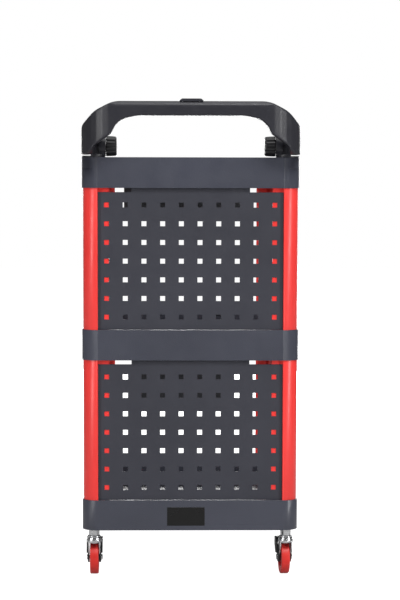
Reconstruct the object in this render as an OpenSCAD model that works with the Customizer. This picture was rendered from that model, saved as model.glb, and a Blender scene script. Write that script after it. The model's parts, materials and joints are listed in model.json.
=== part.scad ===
// Rolling utility cart: three moulded trays on four pairs of sheet-steel corner posts,
// a perforated panel on the handle end, a tilting push handle and four swivel casters.
// X runs across the cart, Y from the handle end to the far end, Z up from the floor.
// The origin is at floor level under the centre of the whole cart's bounding box.

/* [Trays] */
// Width of every tray
tray_w = 443; // [420:1:560]
// Length of every tray
tray_l = 700; // [560:1:880]
// Height of a tray's skirt
tray_h = 62; // [60:1:80]
// Plan radius of a tray's outer corners
tray_r = 32; // [32:1:40]
// Thickness of the outer skirt
skirt_t = 2; // [1.5:0.1:2.2]
// Width of the hollow tray wall, skirt and basin wall together
tray_wall = 16; // [16:0.5:20]
// Thickness of the basin's walls and floor
basin_t = 2.5; // [2:0.1:3]
// Thickness of the rim between skirt and basin
rim_t = 3; // [2.5:0.1:4]
// Height of the basin floor's top above the skirt's lower edge
floor_h = 12; // [11:0.5:13]
// Height of the bottom tray's skirt above the floor
ground_h = 99.5; // [96:0.5:130]
// Clear height between two trays
bay_h = 288.5; // [230:0.5:346]

/* [Posts] */
// Sheet thickness of the posts
post_t = 1.5; // [1.2:0.1:1.6]
// Visible width of a post's face, corner bend included
post_face = 30; // [30:0.5:31]
// Depth of the step from a post's face back to the panel
post_step = 6; // [4:0.5:6]
// Width of the recessed flange that carries the panel
post_flange = 23; // [20:1:26]
// Length of post that plugs into a tray
post_plug = 28; // [26:1:28]

/* [Panels] */
// Sheet thickness of the perforated panels
panel_t = 1.2; // [1:0.1:1.3]
// Distance between the centres of two perforations
hole_pitch = 38; // [32:1:40]
// Side of a square perforation
hole_side = 10; // [8:0.5:12]
// Perforations across a panel
hole_columns = 10; // [6:2:12]
// Perforations up a panel
hole_rows = 7; // [5:2:7]
// Height of the slots beside the tab at a panel's top
shoulder_gap = 8.5; // [6:0.5:12]
// Width of the tab at a panel's top
tab_w = 241; // [160:1:260]
// Height by which the tab reaches up behind a skirt
tab_h = 18; // [10:1:22]

/* [Handle] */
// Height of the grip's top above the top tray's rim
grip_rise = 111; // [100:0.5:125]
// Height of the grip's cross-section
grip_h = 28.5; // [24:0.5:32]
// Depth of the grip's cross-section
grip_d = 32; // [28:0.5:36]
// Reach of the grip in front of the trays
grip_reach = 66; // [50:1:80]
// Thickness of a handle arm
arm_t = 17; // [15:0.5:18]
// Radius of an arm's round rear end
arm_r = 18.5; // [16:0.5:18.5]
// Height of the pivot above the top tray's rim
pivot_h = 22.3; // [22.3:0.1:26]
// Radius of the handle's bolts
handle_bolt_r = 4; // [3:0.5:5]
// Radius of a clamping knob
knob_r = 20.8; // [17:0.1:20.8]
// Thickness of a clamping knob
knob_t = 22; // [16:0.5:24]

/* [Casters] */
// Diameter of a wheel
wheel_d = 70; // [60:1:70]
// Width of a wheel
wheel_w = 18; // [16:0.5:20]
// Horizontal distance from swivel axis to axle
trail = 24; // [20:0.5:26]
// Radius of a caster's stem
stem_r = 6; // [5:0.5:6]
// Turn of the front right caster about its stem, in degrees
parked_turn = 4; // [-20:1:20]

/* [Holders] */
// Width of the can rack hooked on the top tray's far end
rack_w = 290; // [240:1:310]
// Depth of the can rack
rack_d = 72; // [66:1:90]
// Height of the can rack
rack_h = 120; // [80:1:160]
// Width of the bin hooked on the middle tray's far end
bin_w = 220; // [160:1:260]
// Depth of the bin
bin_d = 90; // [72:1:110]
// Height of the bin
bin_h = 218; // [150:1:260]
// Wall thickness of both holders
holder_t = 2.5; // [2:0.1:3]

/* [Label] */
// Width of the blank plate on the bottom tray
label_w = 77; // [50:1:90]
// Height of the blank plate
label_h = 38; // [20:1:40]

/* [Hidden] */
$fn = 64;
// Clearance between fixed pieces that slide together
fit_gap = 0.3;
// Radial clearance of a running fit
run_gap = 0.05;
tiny = 0.01;

// Heights of the trays' lower edges
tray_z = [ground_h, ground_h + tray_h + bay_h, ground_h + 2 * (tray_h + bay_h)];
rim_z = [for (z = tray_z) z + tray_h];
web_t = tray_h - 2 * post_plug;

// The handle reaches out in front and the deeper holder hangs out behind
holder_gap = 0.5;
holder_reach = holder_gap + max(rack_d, bin_d);
front_y = -(grip_reach + tray_l + holder_reach) / 2 + grip_reach;
centre_y = front_y + tray_l / 2;
back_y = front_y + tray_l;

// Post section, measured from the corner where its two faces would meet
post_inset = skirt_t + fit_gap;
post_r = tray_r - post_inset;
flange_y = post_step + panel_t + 0.1;
flange_end = post_face + post_flange;
screw_x = post_inset + post_face + 13;
screw_r = 2.5;
screw_low = 20;
screw_high = tray_h - post_plug / 2;
basin_out = tray_wall - basin_t;

// Panel
panel_w = tray_w - 2 * (post_inset + post_face) - 1;
panel_h = bay_h - shoulder_gap - 0.2;
panel_y = front_y + post_inset + post_step;
stud_r = 2.5;
stud_x = (hole_columns - 1) / 2 * hole_pitch;
stud_steps = [-2.5, 0.5, 2.5];

// Handle
pivot_y = front_y + 24;
pivot_z = rim_z[2] + pivot_h;
grip_z = rim_z[2] + grip_rise;
grip_y = front_y - grip_reach;
plan_r = 70;
arm_x = tray_w / 2 - arm_t;
bracket_w = 31.6;
bracket_x = arm_x - 0.4 - bracket_w;
collar_r = 23.5;
collar_h = 6.5;
collar_low = 3;
arm_drop = 17.5;
collar_in = 24.5;
bracket_bolt_r = 4;
bolt_seat = 48;
cap_w = 48;
cap_h = 5;
knob_end = bracket_x - 0.4;

// Casters
stem_x = tray_w / 2 - 23.5;
stem_y = tray_l / 2 - tray_r;
crown_z = ground_h - 29;
crown_t = 6.5;
crown_r = 15.4;
race_z = crown_z + crown_t + 4.2;
race_r = 13.4;
race_t = 3;
collar_af = 19;
fork_gap = wheel_w / 2 + 1.5;
fork_t = 2;
axle_r = 4;
bush_r = 6;
core_r = 22;
ball_r = 2;
ball_ring = 10.4;
insert_r = 9;
insert_h = 20;
boss_h = 24;
shroud_gap = 0.1;
shroud_t = 1;
shroud_out = 16.4;
brake_y = trail + 22;
brake_z = wheel_d / 2 + 34;
pin_r = 2.5;

CORNERS = [["front_left", -1, -1], ["front_right", 1, -1], ["rear_left", -1, 1], ["rear_right", 1, 1]];
PER_CORNER = ["lower_post_", "upper_post_", "caster_stem_", "caster_fork_", "caster_axle_",
    "wheel_core_", "wheel_tyre_", "wheel_bush_"];
SIDES = [["left", -1], ["right", 1]];
PER_SIDE = ["handle_bracket_", "handle_bolt_", "handle_knob_", "brake_shroud_front_",
    "brake_pedal_front_", "brake_pin_front_"];

slate = [0.27, 0.28, 0.31];
black = [0.13, 0.13, 0.14];
red = [0.9, 0.25, 0.22];
zinc = [0.8, 0.81, 0.82];

// Points of an outline [x, y, r] with every corner rounded to its radius r
function unit(v) = v / norm(v);
function corner_arc(a, b, c) =
    let (
        u = unit([a[0] - b[0], a[1] - b[1]]),
        v = unit([c[0] - b[0], c[1] - b[1]]),
        half = acos(max(-1, min(1, u * v))) / 2,
        r = b[2],
        run = r / tan(half),
        centre = [b[0], b[1]] + unit(u + v) * r / sin(half),
        start = [b[0], b[1]] + u * run - centre,
        side = u[0] * v[1] - u[1] * v[0] > 0 ? -1 : 1,
        sweep = side * (180 - 2 * half),
        steps = 8
    )
    r <= 0 ? [[b[0], b[1]]] :
    [for (i = [0:steps])
        let (t = sweep * i / steps)
        centre + [start[0] * cos(t) - start[1] * sin(t), start[0] * sin(t) + start[1] * cos(t)]];
function rounded(pts) =
    let (n = len(pts))
    [for (i = [0:n - 1]) for (p = corner_arc(pts[(i + n - 1) % n], pts[i], pts[(i + 1) % n])) p];

module rounded_rect(w, l, r) {
    square([w - 2 * r, l], center = true);
    square([w, l - 2 * r], center = true);
    for (x = [-1, 1], y = [-1, 1])
        translate([x * (w / 2 - r), y * (l / 2 - r)])
            circle(r);
}

module tray_block(inset, z0, z1) {
    translate([0, centre_y, z0])
        linear_extrude(z1 - z0)
            rounded_rect(tray_w - 2 * inset, tray_l - 2 * inset, tray_r - inset);
}

// Moves a piece drawn at the front left corner, inside of the corner towards +X and +Y
module at_corner(sx, sy) {
    translate([sx * tray_w / 2, centre_y + sy * tray_l / 2, 0])
        mirror([sx > 0 ? 1 : 0, 0, 0])
            mirror([0, sy > 0 ? 1 : 0, 0])
                children();
}

module at_side(sx) {
    mirror([sx > 0 ? 1 : 0, 0, 0])
        children();
}

// One leg of the bent post: face, step back and flange, along +X
module post_leg(grow) {
    translate([post_r, -grow])
        square([post_face - post_r + grow, post_t + 2 * grow]);
    translate([post_face - post_t - grow, -grow])
        square([post_t + 2 * grow, flange_y + post_t + 2 * grow]);
    translate([post_face - post_t - grow, flange_y - grow])
        square([post_flange + post_t + 2 * grow, post_t + 2 * grow]);
}

module post_section(grow = 0) {
    intersection() {
        translate([post_r, post_r])
            difference() {
                circle(post_r + grow);
                circle(post_r - post_t - grow);
            }
        translate([-1, -1])
            square([post_r + 1 + tiny, post_r + 1 + tiny]);
    }
    post_leg(grow);
    mirror([1, -1])
        post_leg(grow);
}

// Places a screw or its hole through a post's flange, axis along +Y, head side inwards
module at_flange_screws(z) {
    translate([screw_x, post_inset + flange_y, z])
        children();
    mirror([1, -1, 0])
        translate([screw_x, post_inset + flange_y, z])
            children();
}

module y_rod(r, y0, y1) {
    translate([0, y0, 0])
        rotate([-90, 0, 0])
            cylinder(r = r, h = y1 - y0);
}

module x_rod(r, x0, x1) {
    translate([x0, 0, 0])
        rotate([0, 90, 0])
            cylinder(r = r, h = x1 - x0);
}

// ---- Trays ----

// Plates in the hollow corner that the posts stand against
module corner_stops() {
    reach = post_inset + flange_end + 6;
    intersection() {
        difference() {
            tray_block(skirt_t - tiny, post_plug, post_plug + web_t);
            tray_block(basin_out + tiny, post_plug - 1, tray_h);
        }
        for (c = CORNERS)
            at_corner(c[1], c[2])
                cube([reach, reach, tray_h]);
    }
    for (c = CORNERS)
        at_corner(c[1], c[2]) {
            translate([reach - 2, skirt_t - tiny, 0])
                cube([2, basin_out - skirt_t + 2 * tiny, tray_h - rim_t + tiny]);
            translate([skirt_t - tiny, reach - 2, 0])
                cube([basin_out - skirt_t + 2 * tiny, 2, tray_h - rim_t + tiny]);
        }
}

module floor_ribs() {
    rib_t = 2.4;
    rib_low = 2;
    rib_top = floor_h - basin_t + tiny;
    inner_w = tray_w - 2 * basin_out - 2;
    inner_l = tray_l - 2 * basin_out - 2;
    for (i = [-2:2])
        translate([i * inner_w / 6 - rib_t / 2, centre_y - inner_l / 2, rib_low])
            cube([rib_t, inner_l, rib_top - rib_low]);
    for (j = [-4:4])
        translate([-inner_w / 2, centre_y + j * inner_l / 10 - rib_t / 2, rib_low])
            cube([inner_w, rib_t, rib_top - rib_low]);
}

module tray_body() {
    difference() {
        tray_block(0, 0, tray_h);
        tray_block(skirt_t, -1, tray_h - rim_t);
        tray_block(tray_wall - 1, 0, tray_h + 1);
    }
    difference() {
        tray_block(basin_out, floor_h - basin_t - 3, tray_h);
        tray_block(basin_out + basin_t, floor_h, tray_h + 1);
        tray_block(basin_out + basin_t, -1, floor_h - basin_t);
    }
    floor_ribs();
    corner_stops();
}

module screw_boss(z) {
    for (c = CORNERS)
        at_corner(c[1], c[2])
            at_flange_screws(z)
                y_rod(5, post_t + 0.1, basin_out - post_inset - flange_y + tiny);
}

module screw_bores(z) {
    for (c = CORNERS)
        at_corner(c[1], c[2])
            at_flange_screws(z)
                y_rod(screw_r + 0.2, -1, tray_wall - post_inset - flange_y + 1);
}

module post_slots() {
    for (c = CORNERS)
        at_corner(c[1], c[2])
            translate([post_inset, post_inset, tray_h - post_plug])
                linear_extrude(post_plug + 1)
                    post_section(fit_gap - 0.05);
}

module at_casters() {
    for (c = CORNERS)
        translate([c[1] * stem_x, centre_y + c[2] * stem_y, 0])
            children();
}

module top_tray() {
    color(slate)
        translate([0, 0, tray_z[2]])
            difference() {
                union() {
                    tray_body();
                    screw_boss(screw_low);
                    for (s = SIDES)
                        at_corner(s[1], -1)
                            bracket_pad();
                }
                screw_bores(screw_low);
                for (s = SIDES)
                    at_corner(s[1], -1)
                        translate([collar_in, collar_in, -1]) {
                            cylinder(r = bracket_bolt_r + 0.3, h = tray_h + 2);
                            cylinder(r = 8, h = bolt_seat + 1);
                        }
            }
}

// Raised pad in a front corner of the top basin that carries a handle bracket
module bracket_pad() {
    translate([collar_in, collar_in, 40])
        cylinder(r = collar_r, h = tray_h - 40);
    translate([collar_in, collar_in, floor_h - basin_t])
        cylinder(r = 10.5, h = tray_h - floor_h);
}

module mid_tray() {
    color(slate)
        translate([0, 0, tray_z[1]])
            difference() {
                union() {
                    tray_body();
                    screw_boss(screw_low);
                    screw_boss(screw_high);
                }
                screw_bores(screw_low);
                screw_bores(screw_high);
                post_slots();
            }
}

module bottom_tray() {
    color(slate)
        translate([0, 0, tray_z[0]])
            difference() {
                union() {
                    tray_body();
                    screw_boss(screw_high);
                    at_casters()
                        cylinder(r = insert_r + 3, h = boss_h);
                }
                screw_bores(screw_high);
                post_slots();
                at_casters()
                    translate([0, 0, -1])
                        cylinder(r = insert_r, h = insert_h + 1);
            }
}

// ---- Posts and panels ----

module post(low_tray, sx, sy) {
    z0 = rim_z[low_tray] - post_plug;
    z1 = tray_z[low_tray + 1] + post_plug;
    panel_bottom = rim_z[low_tray] + 0.2;
    color(red)
        difference() {
            at_corner(sx, sy)
                translate([post_inset, post_inset, z0])
                    linear_extrude(z1 - z0)
                        post_section();
            at_corner(sx, sy)
                for (z = [tray_z[low_tray] + screw_high, tray_z[low_tray + 1] + screw_low])
                    at_flange_screws(z)
                        y_rod(screw_r + run_gap, -1, post_t + 1);
            if (sy < 0)
                for (k = stud_steps)
                    translate([sx * stud_x, panel_y, panel_bottom + panel_h / 2 + k * hole_pitch])
                        y_rod(stud_r + 0.3, 0, 20);
        }
}

module panel(low_tray) {
    z0 = rim_z[low_tray] + 0.2;
    color(slate)
        difference() {
            union() {
                translate([-panel_w / 2, panel_y, z0])
                    cube([panel_w, panel_t, panel_h]);
                translate([-tab_w / 2, panel_y, z0])
                    cube([tab_w, panel_t, panel_h + shoulder_gap + tab_h]);
                for (sx = [-1, 1], k = stud_steps)
                    translate([sx * stud_x, panel_y, z0 + panel_h / 2 + k * hole_pitch])
                        y_rod(stud_r, panel_t - tiny, 8);
            }
            for (i = [0:hole_columns - 1], j = [0:hole_rows - 1])
                translate([
                    (i - (hole_columns - 1) / 2) * hole_pitch - hole_side / 2,
                    panel_y - 1,
                    z0 + panel_h / 2 + (j - (hole_rows - 1) / 2) * hole_pitch - hole_side / 2
                ])
                    cube([hole_side, panel_t + 2, hole_side]);
        }
}

module upper_panel() {
    panel(1);
}

module lower_panel() {
    panel(0);
}

module panel_nuts() {
    nut_y = flange_y - post_step + post_t + 0.02;
    color(zinc)
        for (low_tray = [0, 1], sx = [-1, 1], k = stud_steps)
            translate([
                sx * stud_x,
                panel_y + nut_y,
                rim_z[low_tray] + 0.2 + panel_h / 2 + k * hole_pitch
            ])
                rotate([-90, 0, 0])
                    difference() {
                        cylinder(r = 4.6, h = 3.6, $fn = 6);
                        translate([0, 0, -1])
                            cylinder(r = stud_r + run_gap, h = 6);
                    }
}

module post_screws() {
    head_y = tray_wall - post_inset - flange_y + 0.02;
    color(zinc)
        for (t = [0:2], c = CORNERS)
            at_corner(c[1], c[2])
                for (z = concat(t > 0 ? [screw_low] : [], t < 2 ? [screw_high] : []))
                    at_flange_screws(tray_z[t] + z) {
                        y_rod(screw_r, -0.5, head_y + 0.5);
                        y_rod(4.2, head_y, head_y + 2.4);
                    }
}

// ---- Handle ----

module handle_front_view() {
    half = tray_w / 2;
    low = pivot_z - arm_drop - 5;
    polygon(rounded([
        [-half, low, 0], [-half, grip_z - 49, 20], [-half + 27, grip_z - 19.5, 60],
        [-half + 66, grip_z, 60], [half - 66, grip_z, 60], [half - 27, grip_z - 19.5, 60],
        [half, grip_z - 49, 20], [half, low, 0],
        [half - 25, low, 0], [half - 25, pivot_z - 1, 6], [half - 61, pivot_z + 24, 4],
        [half - 75, grip_z - grip_h - 9, 40], [half - 112, grip_z - grip_h, 60],
        [112 - half, grip_z - grip_h, 60], [75 - half, grip_z - grip_h - 9, 40],
        [61 - half, pivot_z + 24, 4], [25 - half, pivot_z - 1, 6], [25 - half, low, 0]
    ]));
}

module handle_plan_view() {
    half = tray_w / 2;
    back = pivot_y + arm_r + 1;
    polygon(rounded([
        [-half, back, 0], [-half, grip_y, plan_r], [half, grip_y, plan_r], [half, back, 0],
        [arm_x, back, 0], [arm_x, grip_y + grip_d, plan_r - 24],
        [-arm_x, grip_y + grip_d, plan_r - 24], [-arm_x, back, 0]
    ]));
}

module handle_side_view() {
    polygon(rounded([
        [pivot_y + arm_r, pivot_z - arm_drop, 17], [pivot_y + arm_r, pivot_z + arm_r, arm_r - 0.5],
        [pivot_y, pivot_z + arm_r, 20], [grip_y + 20, grip_z, 14], [grip_y, grip_z, 10],
        [grip_y, pivot_z + 22, 14], [grip_y + 20, pivot_z - 6, 14], [grip_y + 36, pivot_z - arm_drop, 14]
    ]));
}

module handle() {
    color(black)
        difference() {
            intersection() {
                translate([0, pivot_y + 100, 0])
                    rotate([90, 0, 0])
                        linear_extrude(300)
                            handle_front_view();
                translate([0, 0, rim_z[2]])
                    linear_extrude(300)
                        handle_plan_view();
                translate([-tray_w, 0, 0])
                    rotate([90, 0, 90])
                        linear_extrude(2 * tray_w)
                            handle_side_view();
            }
            for (s = SIDES)
                at_side(s[1])
                    translate([0, pivot_y, pivot_z]) {
                        x_rod(handle_bolt_r + 0.1, -tray_w, -arm_x + 1);
                        x_rod(9.3, -tray_w, -tray_w / 2 + 5);
                    }
            translate([-cap_w / 2 - 0.2, grip_y - 1, grip_z - 1.2])
                cube([cap_w + 0.4, grip_d + 2, 3]);
        }
}

module handle_cap() {
    color(slate)
        translate([0, grip_y + 3, 0])
            rotate([-90, 0, 0])
                linear_extrude(grip_d - 8)
                    polygon([
                        [-cap_w / 2, -grip_z + 1.1], [-cap_w / 2, -grip_z - 1],
                        [-cap_w / 2 + 5, -grip_z - cap_h], [cap_w / 2 - 5, -grip_z - cap_h],
                        [cap_w / 2, -grip_z - 1], [cap_w / 2, -grip_z + 1.1]
                    ]);
}

module handle_bracket(sx) {
    cheek_r = 15.5;
    hub_r = 20;
    color(black)
        at_side(sx)
            difference() {
                union() {
                    translate([-tray_w / 2 + collar_in, front_y + collar_in, rim_z[2]])
                        cylinder(r = collar_r, h = collar_h);
                    translate([0, pivot_y, pivot_z])
                        x_rod(cheek_r, -bracket_x - bracket_w, -bracket_x);
                    translate([0, pivot_y, pivot_z])
                        x_rod(hub_r, -bracket_x - 14, -bracket_x);
                    translate([-bracket_x - bracket_w, pivot_y - cheek_r, rim_z[2] + collar_h - 4])
                        cube([bracket_w, 2 * cheek_r, pivot_h - collar_h + 4]);
                }
                translate([0, pivot_y, pivot_z])
                    x_rod(handle_bolt_r + run_gap, -tray_w, 0);
                translate([-tray_w / 2 + collar_in, front_y + collar_in, rim_z[2] - 1])
                    cylinder(r = bracket_bolt_r + run_gap, h = 16);
                translate([-tray_w / 2 - 1, front_y - 1, rim_z[2] + collar_low])
                    cube([arm_t + 2.8, 2 * collar_r + 4, arm_r]);
            }
}

module handle_bolt(sx) {
    head_x = -tray_w / 2 + 0.8;
    color(zinc)
        at_side(sx)
            translate([0, pivot_y, pivot_z]) {
                x_rod(handle_bolt_r, head_x, -knob_end + knob_t - 5);
                x_rod(9, head_x, head_x + 3.8);
            }
}

module handle_knob(sx) {
    lobes = 8;
    color(black)
        at_side(sx)
            translate([-knob_end + 0.2, pivot_y, pivot_z])
                rotate([0, 90, 0])
                    difference() {
                        union() {
                            cylinder(r = knob_r - 3, h = 3);
                            translate([0, 0, 3 - tiny])
                                cylinder(r = knob_r, h = knob_t - 6);
                            translate([0, 0, knob_t - 3 - 2 * tiny])
                                cylinder(r = knob_r - 5, h = 3 + 2 * tiny);
                        }
                        translate([0, 0, -1])
                            cylinder(r = handle_bolt_r + run_gap, h = knob_t - 3);
                        for (i = [0:lobes - 1])
                            rotate([0, 0, (i + 0.5) * 360 / lobes])
                                translate([knob_r + 2.2, 0, -1])
                                    cylinder(r = 4, h = knob_t + 2);
                    }
}

module bracket_bolts() {
    color(zinc)
        for (s = SIDES)
            at_corner(s[1], -1)
                translate([collar_in, collar_in, tray_z[2] + bolt_seat]) {
                    translate([0, 0, -5.5])
                        cylinder(r = 7.4, h = 5.48, $fn = 6);
                    cylinder(r = bracket_bolt_r, h = tray_h - bolt_seat + 14);
                }
}

// ---- Label ----

module label_plate() {
    color(black)
        translate([-label_w / 2 - 9, front_y - 0.6, tray_z[0] + 10])
            cube([label_w, 0.6, label_h]);
}

// ---- Holders on the far end ----

// Two straps that lie on a tray's rim and reach down inside its basin
module rim_hooks(w, rim) {
    strap = 34;
    for (sx = [-1, 1])
        translate([sx * (w / 2 - strap) - strap / 2, 0, 0]) {
            translate([0, back_y - tray_wall - holder_t - 0.2, rim])
                cube([strap, tray_wall + holder_t + 0.2 + holder_gap + 1, holder_t]);
            translate([0, back_y - tray_wall - holder_t - 0.2, rim - 16])
                cube([strap, holder_t, 16 + tiny]);
            translate([0, back_y + holder_gap, rim - 6])
                cube([strap, holder_t, 6 + holder_t]);
        }
}

module holder_box(w, d, h, top) {
    translate([-w / 2, back_y + holder_gap, top - h])
        difference() {
            cube([w, d, h]);
            translate([holder_t, holder_t, holder_t])
                cube([w - 2 * holder_t, d - 2 * holder_t, h]);
        }
}

module can_rack() {
    pockets = 4;
    pitch = (rack_w - holder_t) / pockets;
    top = rim_z[2] - 2;
    color(black) {
        holder_box(rack_w, rack_d, rack_h, top);
        for (i = [1:pockets - 1])
            translate([-rack_w / 2 + i * pitch, back_y + holder_gap + 1, top - rack_h + 1])
                cube([holder_t, rack_d - 2, rack_h - 13]);
        rim_hooks(rack_w, rim_z[2]);
    }
}

module utility_bin() {
    top = rim_z[1] - 2;
    color(black) {
        holder_box(bin_w, bin_d, bin_h, top);
        rim_hooks(bin_w, rim_z[1]);
    }
}

// ---- Casters, drawn with the stem's axis at the origin and the wheel towards +Y ----

module place_caster(sx, sy) {
    turn = (sx > 0 && sy < 0) ? parked_turn : 0;
    translate([sx * stem_x, centre_y + sy * stem_y, 0])
        rotate([0, 0, turn])
            children();
}

module at_axle() {
    translate([0, trail, wheel_d / 2])
        children();
}

module caster_stem(sx, sy) {
    rivet_h = 2.2;
    color(zinc)
        place_caster(sx, sy)
            union() {
                translate([0, 0, crown_z - rivet_h - 0.1])
                    cylinder(r = stem_r, h = ground_h + insert_h - 1 - crown_z + rivet_h);
                translate([0, 0, crown_z - rivet_h - 0.1])
                    cylinder(r = stem_r + 2, h = rivet_h);
                translate([0, 0, race_z])
                    cylinder(r = race_r, h = race_t);
                translate([0, 0, race_z + race_t - tiny])
                    cylinder(d = collar_af / cos(30), h = ground_h - race_z - race_t, $fn = 6);
            }
}

module fork_leg_side() {
    axle_z = wheel_d / 2;
    polygon(rounded([
        [-crown_r + 4, crown_z + 3, 0], [-crown_r + 4, crown_z - 8, 5],
        [trail - 9, axle_z - 9, 9], [trail + 9, axle_z - 9, 8.9], [trail + 9, axle_z + 9, 8.9],
        [crown_r + 3, crown_z - 8, 6], [crown_r - 1, crown_z + 3, 0]
    ]));
}

module caster_fork(sx, sy) {
    color(zinc)
        place_caster(sx, sy)
            difference() {
                union() {
                    translate([0, 0, crown_z])
                        cylinder(r = crown_r, h = crown_t);
                    translate([0, 0, crown_z + crown_t - tiny])
                        difference() {
                            cylinder(r = race_r + 1, h = 3.6);
                            cylinder(r = ball_ring + ball_r + 0.3, h = 5);
                        }
                    for (side = [-1, 1])
                        translate([side * (fork_gap + fork_t / 2) - fork_t / 2, 0, 0])
                            rotate([90, 0, 90])
                                linear_extrude(fork_t)
                                    fork_leg_side();
                }
                translate([0, 0, crown_z - 1])
                    cylinder(r = stem_r + run_gap, h = 20);
                at_axle()
                    x_rod(axle_r, -20, 20);
            }
}

module caster_axle(sx, sy) {
    side = fork_gap + fork_t + (sy < 0 ? shroud_gap + shroud_t : 0);
    color(zinc)
        place_caster(sx, sy)
            at_axle() {
                x_rod(axle_r, -side - 0.5, side + 3.5);
                x_rod(5.5, -side - 2.2, -side);
                translate([side, 0, 0])
                    rotate([0, 90, 0])
                        cylinder(r = 6.2, h = 2.6, $fn = 6);
            }
}

module wheel_bush(sx, sy) {
    color(zinc)
        place_caster(sx, sy)
            at_axle()
                difference() {
                    x_rod(bush_r, -wheel_w / 2 - 0.8, wheel_w / 2 + 0.8);
                    x_rod(axle_r + run_gap, -wheel_w, wheel_w);
                }
}

module wheel_core(sx, sy) {
    color([0.72, 0.12, 0.12])
        place_caster(sx, sy)
            at_axle()
                rotate([0, 90, 0])
                    rotate_extrude()
                        polygon([
                            [bush_r, -wheel_w / 2], [10, -wheel_w / 2], [11.5, -3],
                            [core_r - 3, -3], [core_r - 2, -wheel_w / 2 + 1], [core_r, -wheel_w / 2 + 1],
                            [core_r, wheel_w / 2 - 1], [core_r - 2, wheel_w / 2 - 1], [core_r - 3, 3],
                            [11.5, 3], [10, wheel_w / 2], [bush_r, wheel_w / 2]
                        ]);
}

module wheel_tyre(sx, sy) {
    edge = 2.5;
    color([0.86, 0.16, 0.14])
        place_caster(sx, sy)
            at_axle()
                rotate([0, 90, 0])
                    rotate_extrude()
                        polygon(rounded([
                            [core_r, -wheel_w / 2 + 0.6, 0], [wheel_d / 2, -wheel_w / 2, edge],
                            [wheel_d / 2, wheel_w / 2, edge], [core_r, wheel_w / 2 - 0.6, 0]
                        ]));
}

module stem_inserts() {
    color(zinc)
        at_casters()
            translate([0, 0, ground_h])
                difference() {
                    cylinder(r = insert_r, h = insert_h);
                    translate([0, 0, -1])
                        cylinder(r = stem_r + run_gap, h = insert_h + 2);
                }
}

module caster_balls() {
    balls = 12;
    color(zinc)
        at_casters()
            for (i = [0:balls - 1])
                rotate([0, 0, i * 360 / balls])
                    translate([ball_ring, 0, crown_z + crown_t + ball_r + 0.1])
                        sphere(ball_r);
}

// Foot brake on a handle-end caster: a shroud outside the fork and a pedal behind the wheel
module shroud_cheek_view() {
    polygon(rounded([
        [trail - 10, brake_z - 25, 6], [brake_y - 8, brake_z - 27, 8], [brake_y + 7, brake_z - 10, 8],
        [brake_y + 6, brake_z + 6, 5], [trail + 2, brake_z + 5, 8]
    ]));
}

module shroud_arm_view() {
    axle_z = wheel_d / 2;
    polygon(rounded([
        [trail - 11.5, axle_z - 9, 1], [trail + 8, axle_z - 9, 8], [trail + 14, brake_z - 10, 4],
        [trail - 4, brake_z - 8, 4], [trail - 24.5, axle_z + 9, 1]
    ]));
}

module shroud_lip_view() {
    axle_z = wheel_d / 2;
    polygon([
        [trail - 9.4, axle_z - 9], [trail - 22.4, axle_z + 9], [trail - 24.9, axle_z + 9],
        [trail - 11.9, axle_z - 9]
    ]);
}

module brake_shroud_front(sx) {
    inner = fork_gap + fork_t + shroud_gap;
    color(black)
        place_caster(sx, -1)
            difference() {
                for (side = [0, 1])
                    mirror([side, 0, 0]) {
                        translate([inner, 0, 0])
                            rotate([90, 0, 90])
                                linear_extrude(shroud_t)
                                    shroud_arm_view();
                        translate([wheel_w / 2 + 0.8, 0, 0])
                            rotate([90, 0, 90])
                                linear_extrude(inner + shroud_t - wheel_w / 2 - 0.8)
                                    shroud_lip_view();
                        translate([inner, 0, 0])
                            rotate([90, 0, 90])
                                linear_extrude(shroud_out - inner)
                                    shroud_cheek_view();
                    }
                at_axle()
                    x_rod(axle_r, -20, 20);
                translate([0, brake_y, brake_z])
                    x_rod(pin_r, -20, 20);
            }
}

module pedal_view() {
    polygon(rounded([
        [brake_y - 4.4, brake_z - 2.5, 2], [brake_y - 4.4, brake_z + 4.4, 4.2],
        [brake_y + 14, brake_z + 4, 8],
        [brake_y + 32, brake_z - 1, 2], [brake_y + 31, brake_z - 5, 2], [brake_y + 3.2, brake_z - 5.6, 2],
        [brake_y - 1.5, brake_z - 5.2, 1]
    ]));
}

module brake_pedal_front(sx) {
    half = fork_gap + fork_t - 0.3;
    color(black)
        place_caster(sx, -1)
            difference() {
                translate([-half, 0, 0])
                    rotate([90, 0, 90])
                        linear_extrude(2 * half)
                            pedal_view();
                translate([0, brake_y, brake_z])
                    x_rod(pin_r + run_gap, -20, 20);
            }
}

module brake_pin_front(sx) {
    color(zinc)
        place_caster(sx, -1)
            translate([0, brake_y, brake_z])
                x_rod(pin_r, -shroud_out - 0.5, shroud_out + 0.5);
}

top_tray();
mid_tray();
bottom_tray();
upper_panel();
lower_panel();
panel_nuts();
post_screws();
handle();
handle_cap();
bracket_bolts();
stem_inserts();
caster_balls();
label_plate();
can_rack();
utility_bin();
for (c = CORNERS) {
    post(0, c[1], c[2]);
    post(1, c[1], c[2]);
    caster_stem(c[1], c[2]);
    caster_fork(c[1], c[2]);
    caster_axle(c[1], c[2]);
    wheel_core(c[1], c[2]);
    wheel_tyre(c[1], c[2]);
    wheel_bush(c[1], c[2]);
}
for (s = SIDES) {
    handle_bracket(s[1]);
    handle_bolt(s[1]);
    handle_knob(s[1]);
    brake_pedal_front(s[1]);
    brake_shroud_front(s[1]);
    brake_pin_front(s[1]);
}
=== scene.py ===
"""Looks of the rolling utility cart: materials, moulded detail, floor, light and camera."""
import json
import math

import bmesh
import bpy
from mathutils import Matrix, Vector


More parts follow.
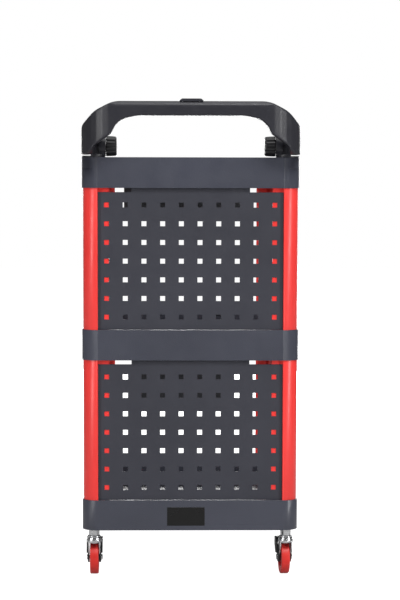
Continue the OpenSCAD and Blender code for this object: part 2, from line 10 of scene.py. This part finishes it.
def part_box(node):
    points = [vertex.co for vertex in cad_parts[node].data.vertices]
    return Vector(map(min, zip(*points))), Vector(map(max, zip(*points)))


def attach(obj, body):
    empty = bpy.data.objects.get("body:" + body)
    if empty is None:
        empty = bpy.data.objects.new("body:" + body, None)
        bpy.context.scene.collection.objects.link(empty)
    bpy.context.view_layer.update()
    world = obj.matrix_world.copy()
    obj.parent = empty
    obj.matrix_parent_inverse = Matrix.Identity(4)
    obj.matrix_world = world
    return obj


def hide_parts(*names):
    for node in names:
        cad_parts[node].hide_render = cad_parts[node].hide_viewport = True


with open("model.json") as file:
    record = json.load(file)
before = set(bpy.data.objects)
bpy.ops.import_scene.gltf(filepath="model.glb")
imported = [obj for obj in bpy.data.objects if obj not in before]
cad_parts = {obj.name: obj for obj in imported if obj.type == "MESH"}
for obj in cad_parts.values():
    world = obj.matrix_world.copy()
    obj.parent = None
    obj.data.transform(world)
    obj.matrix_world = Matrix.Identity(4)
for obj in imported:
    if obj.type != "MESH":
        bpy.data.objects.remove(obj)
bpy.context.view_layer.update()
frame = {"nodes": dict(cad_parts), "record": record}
NODES = frame["nodes"]
SLOT_OF = {s["node"]: s["material_slot"] for s in frame["record"]["subparts"]}
MM = 0.001
FRONT_SIDES = ("left", "right")
CORNERS = ("front_left", "front_right", "rear_left", "rear_right")
PARKED_CORNER, PARKED_TURN = "front_right", math.radians(4.0)
WELD_REACH = 0.00001


# ---------- Materials ----------

MIX_A, MIX_B, MIX_RESULT = 6, 7, 2
BEVEL_SAMPLES = 4
CELL_SMOOTHNESS = 0.6
EDGE_START, EDGE_FULL = 0.02, 0.2


class Graph:
    """Short calls for building one material's nodes."""

    def __init__(self, name):
        self.mat = bpy.data.materials.new(name)
        self.mat.use_nodes = True
        self.tree = self.mat.node_tree
        self.shader = self.tree.nodes["Principled BSDF"]
        self.coord = self.add("ShaderNodeTexCoord").outputs["Object"]

    def add(self, kind, **inputs):
        node = self.tree.nodes.new(kind)
        for key, value in inputs.items():
            socket = node.inputs[key.replace("_", " ")]
            if isinstance(value, bpy.types.NodeSocket):
                self.link(value, socket)
            else:
                socket.default_value = value
        return node

    def link(self, source, target):
        self.tree.links.new(source, target)

    def scaled(self, x, y, z):
        node = self.add("ShaderNodeMapping", Vector=self.coord)
        node.inputs["Scale"].default_value = (x, y, z)
        return node.outputs["Vector"]

    def noise(self, scale, detail=3.0, rough=0.5, vector=None):
        node = self.add("ShaderNodeTexNoise", Scale=scale, Detail=detail, Roughness=rough)
        self.link(vector or self.coord, node.inputs["Vector"])
        return node.outputs["Fac"]

    def cells(self, scale):
        node = self.add("ShaderNodeTexVoronoi", Scale=scale)
        node.feature = "SMOOTH_F1"
        node.inputs["Smoothness"].default_value = CELL_SMOOTHNESS
        self.link(self.coord, node.inputs["Vector"])
        return node.outputs["Distance"]

    def remap(self, value, low, high, to_low, to_high):
        node = self.add("ShaderNodeMapRange", Value=value)
        node.inputs["From Min"].default_value = low
        node.inputs["From Max"].default_value = high
        node.inputs["To Min"].default_value = to_low
        node.inputs["To Max"].default_value = to_high
        return node.outputs["Result"]

    def math(self, kind, a, b):
        node = self.add("ShaderNodeMath")
        node.operation = kind
        for socket, value in zip(node.inputs, (a, b)):
            if isinstance(value, bpy.types.NodeSocket):
                self.link(value, socket)
            else:
                socket.default_value = value
        return node.outputs["Value"]

    def mix(self, factor, a, b):
        node = self.add("ShaderNodeMix")
        node.data_type = "RGBA"
        self.link(factor, node.inputs["Factor"])
        for socket, value in ((node.inputs[MIX_A], a), (node.inputs[MIX_B], b)):
            if isinstance(value, bpy.types.NodeSocket):
                self.link(value, socket)
            else:
                socket.default_value = (*value, 1.0)
        return node.outputs[MIX_RESULT]

    def rounded(self, radius):
        """The surface normal with the edges rounded to this radius."""
        node = self.add("ShaderNodeBevel", Radius=radius)
        node.samples = BEVEL_SAMPLES
        return node.outputs["Normal"]

    def edges(self, radius):
        """About one along convex and concave edges, and nought on flats."""
        soft = self.rounded(radius)
        flat = self.add("ShaderNodeNewGeometry")
        dot = self.add("ShaderNodeVectorMath")
        dot.operation = "DOT_PRODUCT"
        self.link(soft, dot.inputs[0])
        self.link(flat.outputs["Normal"], dot.inputs[1])
        bend = self.math("SUBTRACT", 1.0, dot.outputs["Value"])
        return self.remap(bend, EDGE_START, EDGE_FULL, 0.0, 1.0)

    def bump(self, height, strength, distance, normal=None):
        node = self.add("ShaderNodeBump", Height=height)
        node.inputs["Strength"].default_value = strength
        node.inputs["Distance"].default_value = distance
        if normal is not None:
            self.link(normal, node.inputs["Normal"])
        return node.outputs["Normal"]

    def feed(self, source, name):
        self.link(source, self.shader.inputs[name])

    def set(self, **values):
        for key, value in values.items():
            self.shader.inputs[key.replace("_", " ")].default_value = value


def shade(color, factor):
    return tuple(c * factor for c in color)


def moulded_plastic(name, color, rough, grain, grain_depth, worn, specular=0.35, scuffs=0.5):
    """Spark-grained moulding: fine cells, cloudy tone, rubbed edges and faint scuffs."""
    g = Graph(name)
    cloud = g.noise(5.0, 4.0)
    speck = g.noise(2600.0, 2.0)
    tone = g.mix(g.remap(cloud, 0.3, 0.7, 0.0, 1.0), shade(color, 0.86), shade(color, 1.14))
    tone = g.mix(g.remap(speck, 0.35, 0.7, 0.0, 0.35), tone, shade(color, 1.5))
    edges = g.edges(0.0011)
    rub = g.math("MULTIPLY", edges, g.remap(g.noise(60.0, 5.0), 0.42, 0.62, 0.15, 0.8))
    tone = g.mix(rub, tone, worn)
    g.feed(tone, "Base Color")
    streak = g.noise(14.0, 6.0, 0.7, g.scaled(1.0, 0.6, 9.0))
    level = g.remap(g.noise(35.0, 4.0), 0.3, 0.7, rough - 0.07, rough + 0.07)
    level = g.math("SUBTRACT", level, g.remap(streak, 0.62, 0.8, 0.0, 0.12 * scuffs))
    g.feed(level, "Roughness")
    soft = g.rounded(0.0009)
    cells = g.bump(g.cells(grain), 0.55, grain_depth, soft)
    waves = g.bump(g.noise(28.0, 2.0), 0.12, 0.0006, cells)
    g.feed(waves, "Normal")
    g.set(Specular_IOR_Level=specular, IOR=1.5)
    return g.mat


def powder_coat(name, color, rough, peel, worn, specular=0.4, coat=0.0):
    """Baked powder paint: orange peel, tiny pits, thin paint rubbed along the edges."""
    g = Graph(name)
    cloud = g.noise(7.0, 3.0)
    tone = g.mix(g.remap(cloud, 0.3, 0.7, 0.0, 1.0), shade(color, 0.93), shade(color, 1.07))
    pits = g.remap(g.noise(1500.0, 2.0), 0.66, 0.74, 0.0, 0.35)
    tone = g.mix(pits, tone, shade(color, 0.6))
    edges = g.edges(0.0008)
    rub = g.math("MULTIPLY", edges, g.remap(g.noise(90.0, 5.0), 0.46, 0.66, 0.05, 0.7))
    tone = g.mix(rub, tone, worn)
    g.feed(tone, "Base Color")
    g.feed(g.remap(g.noise(40.0, 5.0), 0.3, 0.7, rough - 0.06, rough + 0.08), "Roughness")
    soft = g.rounded(0.0006)
    skin = g.bump(g.noise(peel, 2.0), 0.35, 0.00025, soft)
    fine = g.bump(g.noise(peel * 5.0, 1.0), 0.25, 0.00008, skin)
    g.feed(fine, "Normal")
    g.set(Specular_IOR_Level=specular, Coat_Weight=coat, Coat_Roughness=0.25)
    return g.mat


def plated_metal(name, color, rough, brushed):
    """Bright plating: drawn lines, spangle and duller patches."""
    g = Graph(name)
    spangle = g.noise(190.0, 3.0)
    tone = g.mix(g.remap(spangle, 0.35, 0.65, 0.0, 1.0), shade(color, 0.88), shade(color, 1.06))
    edges = g.edges(0.0012)
    grime = g.math("MULTIPLY", edges, g.remap(g.noise(75.0, 4.0), 0.45, 0.7, 0.0, 0.55))
    tone = g.mix(grime, tone, shade(color, 0.42))
    g.feed(tone, "Base Color")
    lines = g.noise(120.0, 4.0, 0.6, g.scaled(1.0, 1.0, brushed))
    g.feed(g.remap(lines, 0.3, 0.7, rough - 0.06, rough + 0.12), "Roughness")
    soft = g.rounded(0.0005)
    g.feed(g.bump(lines, 0.2, 0.0001, soft), "Normal")
    g.set(Metallic=1.0)
    return g.mat


def cast_tread(name, color, rough, worn):
    """Polyurethane: smooth, faintly waxy, dusty where it rolls."""
    g = Graph(name)
    cloud = g.noise(55.0, 4.0)
    tone = g.mix(g.remap(cloud, 0.3, 0.7, 0.0, 1.0), shade(color, 0.88), shade(color, 1.1))
    edges = g.edges(0.002)
    dust = g.math("MULTIPLY", edges, g.remap(g.noise(120.0, 5.0), 0.45, 0.65, 0.0, 0.6))
    tone = g.mix(dust, tone, worn)
    g.feed(tone, "Base Color")
    g.feed(g.remap(g.noise(80.0, 5.0), 0.3, 0.7, rough - 0.08, rough + 0.1), "Roughness")
    soft = g.rounded(0.0009)
    g.feed(g.bump(g.noise(420.0, 3.0), 0.3, 0.0002, soft), "Normal")
    g.set(Specular_IOR_Level=0.45, Sheen_Weight=0.08)
    return g.mat


MATERIALS = {
    "tray_plastic": moulded_plastic(
        "tray plastic", (0.050, 0.053, 0.071), 0.36, 620.0, 0.00022, (0.12, 0.125, 0.145), 0.5),
    "panel_paint": powder_coat(
        "panel powder coat", (0.040, 0.041, 0.053), 0.5, 700.0, (0.11, 0.11, 0.125), 0.35),
    "red_paint": powder_coat(
        "red powder coat", (0.90, 0.045, 0.040), 0.36, 520.0, (0.62, 0.16, 0.14), 0.4, 0.15),
    "holder_plastic": moulded_plastic(
        "holder plastic", (0.024, 0.025, 0.029), 0.55, 540.0, 0.0003, (0.07, 0.07, 0.075), 0.3),
    "handle_plastic": moulded_plastic(
        "handle plastic", (0.022, 0.022, 0.028), 0.38, 760.0, 0.00012, (0.06, 0.06, 0.065), 0.4),
    "black_plastic": moulded_plastic(
        "black plastic", (0.018, 0.018, 0.020), 0.36, 900.0, 0.00008, (0.05, 0.05, 0.052), 0.45),
    "label_film": moulded_plastic(
        "blank film", (0.006, 0.006, 0.006), 0.3, 1500.0, 0.00003, (0.03, 0.03, 0.03), 0.4, 0.2),
    "wheel_plastic": moulded_plastic(
        "wheel nylon", (0.34, 0.014, 0.018), 0.38, 800.0, 0.0001, (0.42, 0.08, 0.08), 0.45),
    "wheel_tread": cast_tread(
        "wheel polyurethane", (0.66, 0.024, 0.018), 0.4, (0.5, 0.2, 0.18)),
    "bearing_steel": plated_metal("bearing steel", (0.62, 0.62, 0.64), 0.22, 1.0),
    "zinc_steel": plated_metal("bright zinc", (0.78, 0.79, 0.80), 0.2, 14.0),
}


def paint(obj, slot_name):
    mesh = obj.data
    mesh.materials.clear()
    mesh.materials.append(MATERIALS[slot_name])


# ---------- Edges of the parts that stay as they are ----------

# Width of the rounded edges in millimetres, for each material slot.
EDGE_WIDTH = {
    "tray_plastic": 0.9, "panel_paint": 0.25, "red_paint": 0.35, "holder_plastic": 0.6,
    "handle_plastic": 1.2, "black_plastic": 0.5, "label_film": 0.15, "wheel_plastic": 0.4,
    "wheel_tread": 0.5, "bearing_steel": 0.1, "zinc_steel": 0.35,
}
SHARP = math.radians(32)
FLAT = math.radians(0.4)


def soften(obj, width):
    """Joins the split corners, drops the flat triangulation and rounds the sharp edges."""
    weld = obj.modifiers.new("weld", "WELD")
    weld.merge_threshold = WELD_REACH
    flat = obj.modifiers.new("flat", "DECIMATE")
    flat.decimate_type = "DISSOLVE"
    flat.angle_limit = FLAT
    edge = obj.modifiers.new("edge", "BEVEL")
    edge.width = width
    edge.segments = 2
    edge.limit_method = "ANGLE"
    edge.angle_limit = SHARP
    edge.use_clamp_overlap = True
    edge.harden_normals = True


for node_name, node_object in NODES.items():
    node_slot = SLOT_OF[node_name]
    paint(node_object, node_slot)
    soften(node_object, EDGE_WIDTH[node_slot] * MM)


# ---------- Moulded and turned detail that the plain parts lack, and black rings of painted shade between the caster races ---


def new_piece(name, bm, slot_name, body):
    mesh = bpy.data.meshes.new(name)
    bmesh.ops.recalc_face_normals(bm, faces=bm.faces)
    bm.to_mesh(mesh)
    bm.free()
    for face in mesh.polygons:
        face.use_smooth = True
    obj = bpy.data.objects.new(name, mesh)
    bpy.context.scene.collection.objects.link(obj)
    paint(obj, slot_name)
    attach(obj, body)
    return obj


def middle(node):
    low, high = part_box(node)
    return (low + high) / 2


def lathe(bm, profile, centre, axis, turns=48, wave=None):
    """Turns (along, radius) points about an axis; wave(angle) scales the radius."""
    axis = Vector(axis).normalized()
    side = axis.orthogonal().normalized()
    other = axis.cross(side)
    rings = []
    for along, radius in profile:
        ring = []
        for k in range(turns):
            a = 2 * math.pi * k / turns
            r = radius * (wave(a) if wave else 1.0)
            out = side * math.cos(a) + other * math.sin(a)
            ring.append(bm.verts.new(centre + axis * along + out * r))
        rings.append(ring)
    for low, high in zip(rings, rings[1:]):
        for k in range(turns):
            n = (k + 1) % turns
            bm.faces.new((low[k], low[n], high[n], high[k]))
    return rings


def closed_lathe(bm, profile, centre, axis, turns=48, wave=None):
    rings = lathe(bm, profile, centre, axis, turns, wave)
    bm.faces.new(rings[0])
    bm.faces.new(rings[-1])


def hoop(bm, profile, centre, axis, turns=64):
    """A closed ring swept from a closed profile of (along, radius) points."""
    rings = lathe(bm, profile + profile[:1], centre, axis, turns)
    bmesh.ops.remove_doubles(bm, verts=[v for r in rings for v in r], dist=1e-7)


def moulded_handle():
    """The handle as one soft-edged moulding, grown from the exact handle's own outline."""
    source = NODES["handle"]
    mesh = source.data.copy()
    mesh.name = "moulded_handle"
    shell = bpy.data.objects.new("moulded_handle", mesh)
    bpy.context.scene.collection.objects.link(shell)
    weld = shell.modifiers.new("weld", "WELD")
    weld.merge_threshold = WELD_REACH
    grid = shell.modifiers.new("grid", "REMESH")
    grid.mode = "VOXEL"
    grid.voxel_size = 1.6 * MM
    ease = shell.modifiers.new("ease", "SMOOTH")
    ease.factor = 0.5
    ease.iterations = 9
    bpy.context.view_layer.update()
    graph = bpy.context.evaluated_depsgraph_get()
    done = bpy.data.meshes.new_from_object(shell.evaluated_get(graph))
    shell.modifiers.clear()
    shell.data = done
    done.name = "moulded_handle"
    for face in done.polygons:
        face.use_smooth = True
    paint(shell, "handle_plastic")
    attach(shell, "handle")
    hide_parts("handle")


def clamping_knob(side):
    """A fluted knob, a little wider at the bolt end, with a dished cap."""
    node = "handle_knob_" + side
    low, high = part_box(node)
    inward = 1.0 if side == "left" else -1.0
    root_x = low.x if side == "left" else high.x
    reach = high.x - low.x
    radius = (high.z - low.z) / 2
    centre = middle(node)
    centre.x = root_x
    flutes, depth = 12, 0.075

    def fluted(a):
        return 1.0 - depth * (0.5 - 0.5 * math.cos(flutes * a)) ** 2

    bm = bmesh.new()
    body = [(0.0, 0.90), (0.012, 0.955), (0.05, 0.985), (0.10, 1.0), (0.55, 0.985),
            (0.84, 0.955), (0.93, 0.92)]
    side_profile = [(a * reach, r * radius) for a, r in body]
    closed_lathe(bm, side_profile, centre, (inward, 0, 0), 144, fluted)
    cap = [(0.90, 0.80), (0.95, 0.86), (0.99, 0.80), (1.0, 0.72), (0.975, 0.60),
           (0.965, 0.30), (0.97, 0.02)]
    cap_profile = [(a * reach, r * radius) for a, r in cap]
    closed_lathe(bm, cap_profile, centre, (inward, 0, 0), 72)
    knob = new_piece("fluted_knob_" + side, bm, "black_plastic", "knob_" + side)
    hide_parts(node)


def shade_gap_ring(corner):
    """A black ring in the gap between the two races of a caster: painted shade, standing for the
    shadow between the races.
    """
    stem = middle("caster_stem_" + corner)
    balls_low, balls_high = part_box("caster_balls")
    stem.z = (balls_low.z + balls_high.z) / 2
    half, inner, outer = 1.7 * MM, 9.2 * MM, 12.9 * MM
    chamfer = 0.6 * MM
    profile = [(-half, inner), (-half, outer - chamfer), (-0.5 * half, outer),
               (0.5 * half, outer), (half, outer - chamfer), (half, inner)]
    bm = bmesh.new()
    hoop(bm, profile, stem, (0, 0, 1))
    # The black ring is painted shade: it stands for the shadow between the races.
    new_piece("painted_shade_ring_" + corner, bm, "black_plastic", "cart")


def hub_rings(corner):
    """A raised ring on both faces of a wheel."""
    tyre_low, tyre_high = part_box("wheel_tyre_" + corner)
    centre = (tyre_low + tyre_high) / 2
    turn = PARKED_TURN if corner == PARKED_CORNER else 0.0
    axis = Vector((math.cos(turn), math.sin(turn), 0.0))
    radius = (tyre_high.z - tyre_low.z) / 2
    face = 7.6 * MM
    for side, sign in (("a", 1.0), ("b", -1.0)):
        bm = bmesh.new()
        ring = [(face - 1.4 * MM, 0.60 * radius), (face + 0.1 * MM, 0.61 * radius),
                (face + 0.5 * MM, 0.64 * radius), (face + 0.1 * MM, 0.67 * radius),
                (face - 1.4 * MM, 0.68 * radius)]
        hoop(bm, ring, centre, axis * sign)
        new_piece("hub_ring_" + side + "_" + corner, bm, "wheel_plastic", "wheel_" + corner)


def pedal_grip(side):
    """Ribs across the top of a brake pedal, where a shoe presses."""
    low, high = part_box("brake_pedal_front_" + side)
    bm = bmesh.new()
    half = (high.x - low.x) / 2 - 2.4 * MM
    mid_x = (high.x + low.x) / 2
    ribs, first, pitch = 5, 4.0, 3.4
    thin, thick, taper = 0.5 * MM, 0.8 * MM, 0.6 * MM
    rib = [(-half, thin), (-half + taper, thick), (half - taper, thick), (half, thin)]
    for k in range(ribs):
        y = high.y - (first + pitch * k) * MM
        z = low.z + (4.6 + 1.15 * k - 0.09 * k * k) * MM
        closed_lathe(bm, rib, Vector((mid_x, y, z)), (1, 0, 0), 12)
    new_piece("pedal_grip_" + side, bm, "black_plastic", "brake_" + side)


def grip_ribs():
    """Low ribs across the underside of the crossbar, for the fingers."""
    low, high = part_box("handle")
    bar_y = low.y + 15.0 * MM
    bar_height, sunk, pitch, ribs_each_side = 28.5 * MM, 0.35 * MM, 8.5, 9
    under = high.z - bar_height
    rib = [(-7.5 * MM, 0.7 * MM), (-6.5 * MM, 1.1 * MM), (6.5 * MM, 1.1 * MM), (7.5 * MM, 0.7 * MM)]
    bm = bmesh.new()
    for k in range(-ribs_each_side, ribs_each_side + 1):
        closed_lathe(bm, rib, Vector((k * pitch * MM, bar_y, under + sunk)), (0, 1, 0), 12)
    new_piece("grip_ribs", bm, "handle_plastic", "handle")


moulded_handle()
grip_ribs()
for knob_side in FRONT_SIDES:
    clamping_knob(knob_side)
    pedal_grip(knob_side)
for caster in CORNERS:
    # Each caster gets a black ring of painted shade between its races.
    shade_gap_ring(caster)
    hub_rings(caster)


# ---------- Floor, light and camera ----------


def seen_only(tree, seen, unseen):
    """One strength for the camera's own rays, and another for the light that reaches the cart."""
    path = tree.nodes.new("ShaderNodeLightPath")
    pick = tree.nodes.new("ShaderNodeMapRange")
    pick.inputs["To Min"].default_value = unseen
    pick.inputs["To Max"].default_value = seen
    tree.links.new(path.outputs["Is Camera Ray"], pick.inputs["Value"])
    return pick.outputs["Result"]


def studio():
    """A round pale floor under the cart, bright in the picture but dim as a light source."""
    mesh = bpy.data.meshes.new("studio_floor")
    bm = bmesh.new()
    radius, sectors = 14.0, 96
    rim = [bm.verts.new((radius * math.cos(a), radius * math.sin(a), 0.0))
           for a in (2 * math.pi * k / sectors for k in range(sectors))]
    bm.faces.new(rim)
    bm.to_mesh(mesh)
    bm.free()
    floor = bpy.data.objects.new("studio_floor", mesh)
    bpy.context.scene.collection.objects.link(floor)
    g = Graph("pale floor")
    g.feed(g.mix(g.noise(0.8, 2.0), (0.46, 0.46, 0.46), (0.49, 0.49, 0.49)), "Base Color")
    g.feed(seen_only(g.tree, 0.97, 0.03), "Emission Strength")
    g.set(Roughness=0.8, Specular_IOR_Level=0.1, Emission_Color=(1.0, 1.0, 1.0, 1.0))
    mesh.materials.append(g.mat)


def softbox(name, place, target, width, height, watts):
    lamp = bpy.data.lights.new(name, "AREA")
    lamp.shape = "RECTANGLE"
    lamp.size = width
    lamp.size_y = height
    lamp.energy = watts
    obj = bpy.data.objects.new(name, lamp)
    obj.location = place
    obj.rotation_euler = (Vector(target) - Vector(place)).to_track_quat("-Z", "Y").to_euler()
    bpy.context.scene.collection.objects.link(obj)


def light():
    world = bpy.data.worlds.new("studio")
    world.use_nodes = True
    tree = world.node_tree
    sky = tree.nodes["Background"]
    sky.inputs["Color"].default_value = (1.0, 1.0, 1.0, 1.0)
    tree.links.new(seen_only(tree, 1.0, 0.12), sky.inputs["Strength"])
    bpy.context.scene.world = world
    softbox("strip_left", (-3.0, -2.8, 1.25), (0, -0.3, 0.8), 0.42, 2.4, 58)
    softbox("strip_right", (3.0, -2.8, 1.25), (0, -0.3, 0.8), 0.42, 2.4, 68)
    softbox("front_top", (0.7, -3.0, 3.7), (0, -0.36, 1.0), 1.4, 1.2, 92)
    softbox("top", (0, -0.2, 3.4), (0, 0, 0.6), 2.2, 2.2, 34)
    softbox("rear", (0.3, 4.2, 0.75), (0, 0.3, 0.4), 3.0, 1.5, 150)


# A long lens at the handle end, tilted a little and shifted up. Angles are in radians.
FOCAL_PIXELS = 2130.0
FRAME_HEIGHT_PIXELS = 600.0
PITCH, YAW, ROLL = 0.09358, -0.02194, 0.00231
CAMERA_PLACE = (-0.0756, -4.6900, 0.8307)
SHIFT_PIXELS = 73.0


def camera():
    data = bpy.data.cameras.new("camera")
    data.sensor_fit = "VERTICAL"
    data.sensor_height = 36.0
    data.lens = data.sensor_height * FOCAL_PIXELS / FRAME_HEIGHT_PIXELS
    data.shift_y = SHIFT_PIXELS / FRAME_HEIGHT_PIXELS
    data.clip_end = 60.0
    obj = bpy.data.objects.new("camera", data)
    tilt = Matrix.Rotation(PITCH, 3, "X") @ Matrix.Rotation(YAW, 3, "Y")
    turn = Matrix.Rotation(ROLL, 3, "Z") @ tilt
    row_right, row_down, row_ahead = (turn[k] for k in range(3))
    axes = [Vector((r[0], r[2], -r[1])) for r in (row_right, -row_down, -row_ahead)]
    place = Matrix((axes[0], axes[1], axes[2])).transposed().to_4x4()
    place.translation = CAMERA_PLACE
    obj.matrix_world = place
    bpy.context.scene.collection.objects.link(obj)
    bpy.context.scene.camera = obj


studio()
light()
camera()
bpy.context.scene.view_settings.view_transform = "Standard"
